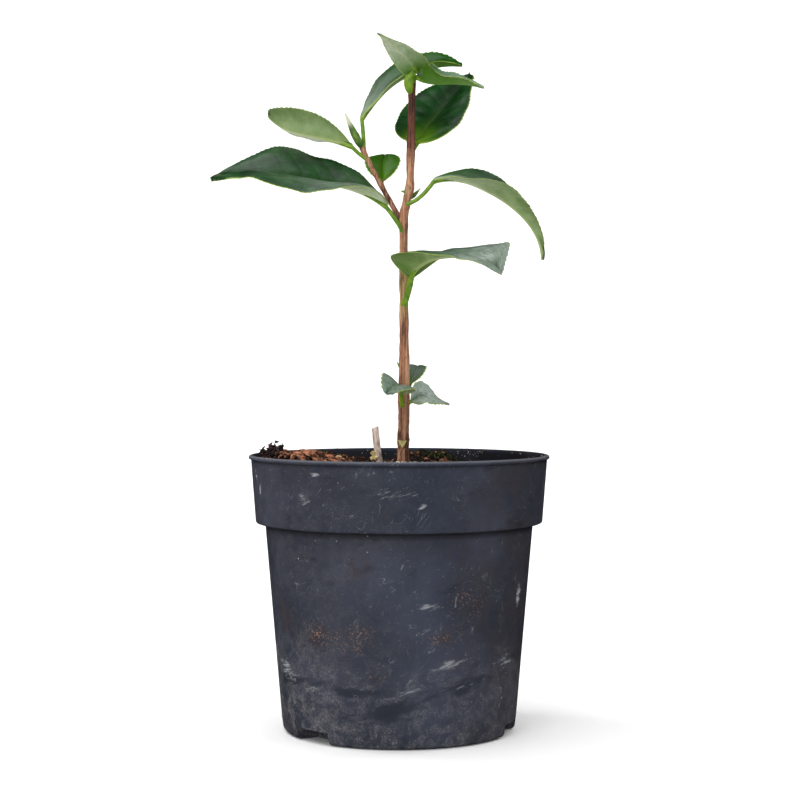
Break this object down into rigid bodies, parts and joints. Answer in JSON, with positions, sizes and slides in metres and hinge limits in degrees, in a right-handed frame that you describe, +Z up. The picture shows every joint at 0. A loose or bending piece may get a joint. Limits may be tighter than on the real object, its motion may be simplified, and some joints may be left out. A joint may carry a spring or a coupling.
{
  "type": "camellia shrub in a nursery pot",
  "caption": "Young camellia shrub: a slender upright stem with a side shoot and broad toothed evergreen leaves, in a round stepped nursery pot filled with bark compost.",
  "frame": {"origin": "centre of the pot's flat underside", "axes": "+Z up along the pot's axis, -Y towards the front, +X to the right"},
  "size_m": [0.1921, 0.172, 0.3894],
  "materials": {
    "pot": "dark slate grey moulded plastic, dusty and scuffed towards the foot",
    "soil": "dark bark compost with orange-brown chips and dry and green moss",
    "bark": "brown bark, cracked low down and reddish at the top",
    "dead_wood": "greyish pink dead wood with a dark cut",
    "bud": "smooth green scales with a cream tip",
    "leaf": "glossy dark green above, matt sage green below, pale toothed margins"
  },
  "bodies": {
    "root": {"pot": "pot", "soil": "soil", "main_stem": "bark", "side_shoot": "bark", "cut_stub": "dead_wood", "shoot_tip_bud": "bud", "axil_bud_right": "bud", "axil_bud_left": "bud", "low_bud": "bud", "leaf_crown_left": "leaf", "leaf_crown_right": "leaf", "leaf_back_right": "leaf", "leaf_shoot_arch": "leaf", "leaf_shoot_left": "leaf", "leaf_shoot_back": "leaf", "leaf_left_long": "leaf", "leaf_right_arch": "leaf", "leaf_middle_twist": "leaf", "leaf_low_front": "leaf", "leaf_low_back": "leaf", "leaf_low_right": "leaf"}
  },
  "joints": []
}
